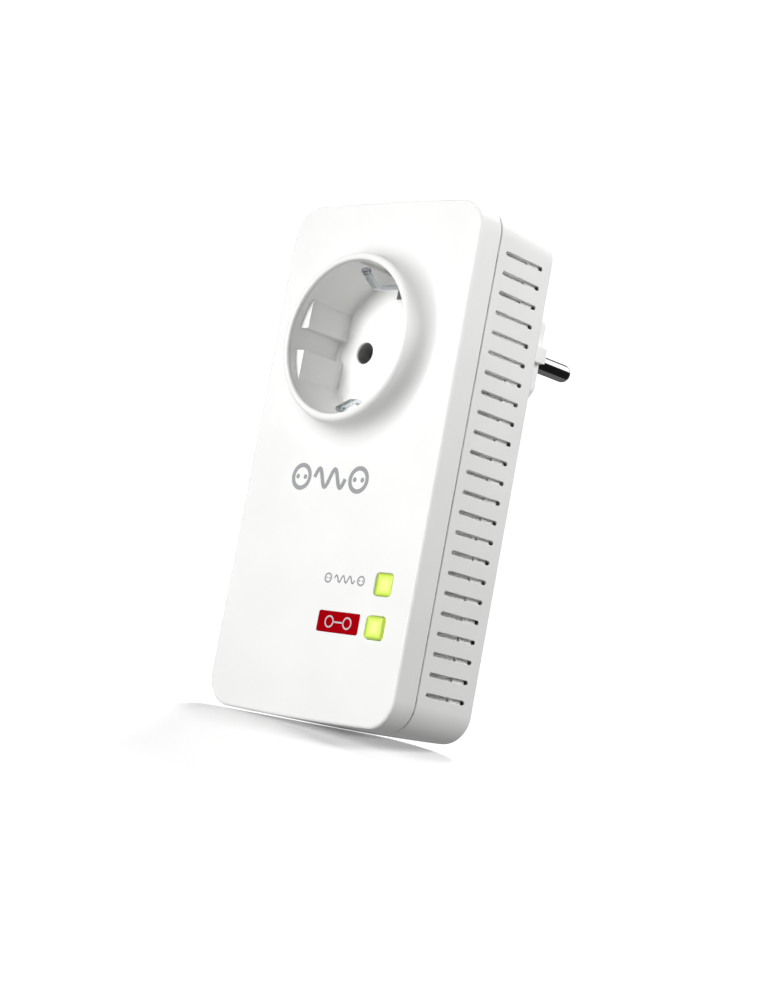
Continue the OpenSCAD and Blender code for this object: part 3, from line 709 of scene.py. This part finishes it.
# ---- Plug: body with flats and ribs, and two plated pins ----
def plug_housing():
    skin = Skin()
    edge = 1.2
    rows = [plug_loop(BACK - 1.5, 0), plug_loop(PLUG_FACE - edge, 0)]
    for i in range(1, 6):
        a = math.radians(18 * i)
        rows.append(plug_loop(PLUG_FACE - edge * (1 - math.sin(a)), -edge * (1 - math.cos(a))))
    loops = skin.loft(rows)
    collar_r, collar_deep, hole_r, hole_deep = 3.4, 0.3, 3.05, 4
    rows = [(collar_r, PLUG_FACE), (collar_r, PLUG_FACE - collar_deep),
            (hole_r, PLUG_FACE - collar_deep), (hole_r, PLUG_FACE - hole_deep)]
    holes = [skin.turned(rows, x, PLUG_Z, 48) for x in (-PIN_X_MID, PIN_X_MID)]
    skin.fill(loops[-1], *[h[0] for h in holes])
    skin.fill(loops[0])
    for h in holes:
        skin.fill(h[-1])
    piece = skin.finish("plug_housing", WHITE)
    half, slot_floor, outside = 3.1, 16.95, 21
    slots = []
    for up in (-1, 1):
        slot = Skin()
        slot.box((-half, half), (BACK - 3, PLUG_FACE - 1.5),
                 sorted((PLUG_Z + up * slot_floor, PLUG_Z + up * outside)), 0.1)
        slots.append(slot)
    return place(cut(piece, slots), HOUSING, ["plug_body"])


def plug_pin(name, x, node):
    skin = Skin()
    r, tip, point_r, root_r, root = 2.4, 2.1, 0.02, 3.0, PLUG_FACE - 3.6
    rows = [(point_r, root), (root_r, root), (root_r, PLUG_FACE - 0.1), (2.9, PLUG_FACE),
            (r, PLUG_FACE), (r, PIN_TIP - tip)]
    rows += [(max(r * math.cos(a), point_r), PIN_TIP - tip + tip * math.sin(a))
             for a in [math.radians(10 * i) for i in range(1, 10)]]
    loops = skin.turned(rows, x, PLUG_Z, 64)
    skin.fill(loops[0])
    skin.fill(loops[-1])
    return place(skin.finish(name, CHROME), HOUSING, [node])


# ---- Lamp, button and label ----
# Colours of the lit guides at their edge, near it and in their core, and how far the core lies
# to the side of the middle, which paints shade along each guide's left edge
GLOW = ((0.2, 0.29, 0.04), (0.62, 0.76, 0.09), (0.95, 0.98, 0.33))
GLOW_STRENGTH = 0.8
GLOW_SHADE_SHIFT = 0.4


def light_guide(name, x, z, front, back, body, node):
    skin = Skin()
    r, size = 1.0, CONTROL
    edge = 0.35
    rows = [(back, size, r), (front + edge, size, r)]
    for i in range(1, 6):
        a = math.radians(18 * i)
        shrink = 2 * edge * (1 - math.cos(a))
        rows.append((front + edge * (1 - math.sin(a)), size - shrink, r - shrink / 2))
    loops = skin.loft([at_depth(rounded_box(x, z, s, s, c), y) for y, s, c in rows])
    skin.fill(loops[0])
    skin.fill(loops[-1])
    # The core set off to the side paints shade along the guide's left edge; the rest of the glow is
    # the LED's light
    glow = glowing(name + "_glow", (x + GLOW_SHADE_SHIFT, z), *GLOW, GLOW_STRENGTH)
    return place(skin.finish(name, glow), body, [node])


def stroke(skin, path, width, closed=False):
    """A printed line along a path of (x, z) points."""
    points = [Vector(p) for p in path]
    last = len(points) - 1
    left, right = [], []
    for i, p in enumerate(points):
        ahead, behind = points[(i + 1) % len(points)], points[i - 1]
        if not closed:
            ahead, behind = points[min(i + 1, last)], points[max(i - 1, 0)]
        along = (ahead - behind).normalized()
        normal = Vector((-along.y, along.x)) * width / 2
        left.append(p + normal)
        right.append(p - normal)
    if closed:
        loops = skin.loft([at_depth(left, PRINT_FRONT), at_depth(right, PRINT_FRONT),
                           at_depth(right, PRINT_BACK), at_depth(left, PRINT_BACK)])
        skin.band(loops[-1], loops[0])
    else:
        outline = left + right[::-1]
        loops = skin.loft([at_depth(outline, PRINT_FRONT), at_depth(outline, PRINT_BACK)])
        skin.fill(loops[0])
        skin.fill(loops[1])


def disc(skin, x, z, r):
    """A printed dot."""
    loops = skin.turned([(r, PRINT_BACK), (r, PRINT_FRONT)], x, z, 24)
    skin.fill(loops[0])
    skin.fill(loops[1])


def wave(x0, x1, z, height, turns, steps=20):
    """A level sine line from x0 to x1."""
    count = turns * steps
    return [(x0 + (x1 - x0) * i / count, z + height / 2 * math.sin(2 * math.pi * i / steps))
            for i in range(count + 1)]


def socket_sign(skin, x, z, r, width):
    """A mains socket seen from the front: a ring with two dots."""
    stroke(skin, circle(x, z, r - width / 2, 40), width, closed=True)
    for side in (-1, 1):
        disc(skin, x + side * r * 0.38, z, width * 0.55)


def joined_sockets(skin, ends, wave_ends, z, r, wave_height, turns, width):
    """Two socket signs with a wave between them."""
    socket_sign(skin, ends[0], z, r, width)
    stroke(skin, wave(*wave_ends, z, wave_height, turns), width)
    socket_sign(skin, ends[1], z, r, width)


def face_signs():
    """Generic printed signs where the photographed device has its lettering."""
    skin = Skin()
    joined_sockets(skin, (-13.0, 7.3), (-8.3, 2.6), 60.2, 3.5, 4.6, 2, 1.15)
    joined_sockets(skin, (3.2, 14.6), (5.4, 12.4), LAMP_Z + 0.3, 1.3, 1.7, 3, 0.42)
    return place(skin.finish("face_signs", PRINT), HOUSING)


def label_plate():
    skin = Skin()
    r, edge = 0.55, 0.06
    rows = [(LABEL_DEEP, 0), (edge, 0), (0, edge)]
    loops = []
    for y, inset in rows:
        border = rounded_box(LABEL_X, LABEL_Z, LABEL_W - 2 * inset, LABEL_H - 2 * inset, r)
        loops.append(at_depth(border, y))
    loops = skin.loft(loops)
    skin.fill(loops[0])
    skin.fill(loops[-1])
    return place(skin.finish("label_plate", RED), HOUSING, ["red_label"])


def label_sign():
    """A sign for joining two devices: two linked rings."""
    skin = Skin()
    reach, r, line = 3.1, 1.35, 0.42
    for side in (-1, 1):
        stroke(skin, circle(LABEL_X + side * reach, LABEL_Z, r, 32), line, closed=True)
    stroke(skin, [(LABEL_X - reach + r, LABEL_Z), (LABEL_X + reach - r, LABEL_Z)], line)
    return place(skin.finish("label_sign", PALE_PRINT), HOUSING)


front_cover()
rear_cover()
vent_liners()
port_surround()
socket_recess()
hole_tubes()
earth_leaf("earth_leaf_top", 1, "earth_top", "earth_spring_top")
earth_leaf("earth_leaf_bottom", -1, "earth_bottom", "earth_spring_bottom")
plug_housing()
plug_pin("line_pin", PIN_X_MID, "plug_pin_line")
plug_pin("neutral_pin", -PIN_X_MID, "plug_pin_neutral")
light_guide("lamp_window", LAMP_X, LAMP_Z, 0.02, 2.8, HOUSING, "lamp_lens")
light_guide("push_button", BUTTON_X, BUTTON_Z, BUTTON_FRONT, 3.0, "button", "connect_button")
label_plate()
label_sign()
face_signs()


# ---- Stage. The floor is in housing millimetres, and runs along and across the view ----
# Horizontal direction from the object towards the camera
TOWARDS = (0.704, -0.710)
SLOPE, CREASE, BEND = 0.19, -12.0, 14.0


def floor_height(along):
    """The floor is level behind the crease and slopes down from there towards the camera."""
    gap = 0.05
    t = min(max((along - CREASE + BEND) / (2 * BEND), 0), 1)
    return -gap - SLOPE * (BEND * t * t + max(0, along - CREASE - BEND))


def stage_floor():
    """The camera is a little lower than the base, so the floor slopes down towards it."""
    bm = bmesh.new()
    across = [-260, -120, -60, 0, 60, 120, 260]
    bend = [CREASE + BEND * (i / 8 - 1) for i in range(17)]
    along = [-260, -160, -90, -60] + bend + [12, 24, 40, 70, 120, 190, 280]
    rows = []
    for u in along:
        rows.append([bm.verts.new((u * TOWARDS[0] - v * TOWARDS[1],
                                   v * TOWARDS[0] + u * TOWARDS[1], floor_height(u)))
                     for v in across])
    for a, b in zip(rows, rows[1:]):
        for i in range(len(across) - 1):
            bm.faces.new((a[i], a[i + 1], b[i + 1], b[i]))
    bmesh.ops.recalc_face_normals(bm, faces=bm.faces)
    bm.transform(TO_FRAME)
    paper = surface("pale_floor", (0.9, 0.9, 0.9), 0.8, bump=0.01, Specular_IOR_Level=0.1,
                    Emission_Color=(1, 1, 1, 1), Emission_Strength=0.13)
    floor = to_object(bm, "floor", paper)
    floor.visible_diffuse = floor.visible_glossy = False


def area_light(name, position, size, power, target=(0, -25, -40), spread=180):
    """A square softbox, in CAD millimetres, aimed at the object."""
    data = bpy.data.lights.new(name, "AREA")
    data.size, data.energy, data.spread = size * MM, power, math.radians(spread)
    lamp = bpy.data.objects.new(name, data)
    bpy.context.scene.collection.objects.link(lamp)
    lamp.location = Vector(position) * MM
    aim = Vector(target) * MM - lamp.location
    lamp.rotation_euler = aim.to_track_quat("-Z", "Y").to_euler()


def surroundings():
    """A dim studio: a black and a white patch show in the pins, and more white lies below."""
    world = bpy.data.worlds.new("studio")
    world.use_nodes = True
    bpy.context.scene.world = world
    tree = world.node_tree
    sky = tree.nodes["Background"]
    where = tree.nodes.new("ShaderNodeTexCoord")

    def patch(direction, far, near):
        """1 in a round patch of the surroundings, falling smoothly to 0 outside it."""
        along = tree.nodes.new("ShaderNodeVectorMath")
        along.operation = "DOT_PRODUCT"
        along.inputs[1].default_value = direction
        link(tree, where, "Generated", along, 0)
        edge = tree.nodes.new("ShaderNodeMapRange")
        edge.interpolation_type = "SMOOTHSTEP"
        edge.inputs["From Min"].default_value, edge.inputs["From Max"].default_value = far, near
        link(tree, along, "Value", edge, "Value")
        return edge

    grey, black, white = (0.12,) * 3, (0.01,) * 3, (1.2,) * 3
    black_patch = patch((0.685, 0.705, -0.2), 0.76, 0.84)
    colour = ramp(tree, black_patch, "Result", [(0.0, grey), (1.0, black)]).outputs["Color"]
    for direction, far, near in (((0.27, 0.705, 0.655), 0.9, 0.94), ((0, 0, -1), 0.75, 0.95)):
        mix = tree.nodes.new("ShaderNodeMix")
        mix.data_type = "RGBA"
        link(tree, patch(direction, far, near), "Result", mix, "Factor")
        tree.links.new(colour, mix.inputs["A"])
        mix.inputs["B"].default_value = (*white, 1)
        colour = mix.outputs["Result"]
    tree.links.new(colour, sky.inputs["Color"])


def backdrop():
    """A white paper dome far round the object, which lights nothing."""
    bm = bmesh.new()
    bmesh.ops.create_icosphere(bm, subdivisions=4, radius=3)
    bmesh.ops.reverse_faces(bm, faces=bm.faces)
    paper = surface("backdrop_paper", (0.8, 0.8, 0.8), 0.9, Specular_IOR_Level=0.0,
                    Emission_Color=(1, 1, 1, 1), Emission_Strength=1.1)
    dome = to_object(bm, "backdrop", paper)
    dome.visible_diffuse = dome.visible_glossy = dome.visible_shadow = False


def camera():
    """The photograph's viewpoint, from a perspective fit."""
    data = bpy.data.cameras.new("camera")
    data.sensor_width, data.lens = 36, 83.573
    view = bpy.data.objects.new("camera", data)
    bpy.context.scene.collection.objects.link(view)
    azimuth, tilt, roll = (math.radians(a) for a in (44.777, 96.520, 10.540))
    view.location = Vector((411.92, -445.65, -112.06)) * MM
    turn = (Matrix.Rotation(azimuth, 3, "Z") @ Matrix.Rotation(tilt, 3, "X")
            @ Matrix.Rotation(roll, 3, "Z"))
    view.rotation_euler = turn.to_euler()
    data.clip_start, data.clip_end = 0.01, 10
    bpy.context.scene.camera = view


stage_floor()
backdrop()
surroundings()
area_light("front", (-130, -800, 110), size=420, power=0.94, target=(40, -48, -25), spread=55)
area_light("right", (420, 100, 150), size=220, power=1.75)
area_light("top", (-170, 330, 560), size=240, power=7.0, target=(0, -25, -100))
camera()
bpy.context.scene.view_settings.view_transform = "Standard"
